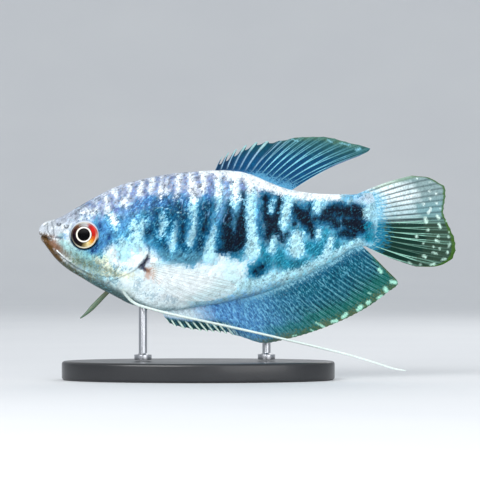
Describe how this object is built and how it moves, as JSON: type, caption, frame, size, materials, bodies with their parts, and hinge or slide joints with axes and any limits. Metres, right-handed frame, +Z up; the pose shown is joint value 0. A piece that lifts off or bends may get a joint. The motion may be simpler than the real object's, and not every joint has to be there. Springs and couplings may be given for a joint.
{
  "type": "opaline gourami",
  "caption": "Deep-bodied aquarium fish with a swept dorsal fin, long anal fin, fan tail and thread-like feelers, swimming level on two short rods over an oval base.",
  "frame": {"origin": "middle of the display stand's flat underside", "axes": "+Z up; the fish faces -X, its left flank faces -Y and its tail points to +X"},
  "size_m": [0.1106, 0.038, 0.0642],
  "materials": {
    "skin": "moist silvery scales with dark blue bars",
    "fin": "thin blue and green membrane with pale rays",
    "clear_fin": "nearly clear membrane with fine rays",
    "feeler": "pale soft thread",
    "eye": "wet, with a red and gold iris",
    "stand": "satin black",
    "rod": "brushed"
  },
  "bodies": {
    "root": {"head": "skin", "torso": "skin", "tail_stem": "skin", "eye_left": "eye", "eye_right": "eye", "dorsal_fin": "fin", "anal_fin": "fin", "caudal_fin": "fin", "pectoral_fin_left": "clear_fin", "pectoral_fin_right": "clear_fin", "pelvic_fin_left": "feeler", "pelvic_fin_right": "feeler", "stand_base": "stand", "stand_rod_front": "rod", "stand_rod_rear": "rod"}
  },
  "joints": []
}
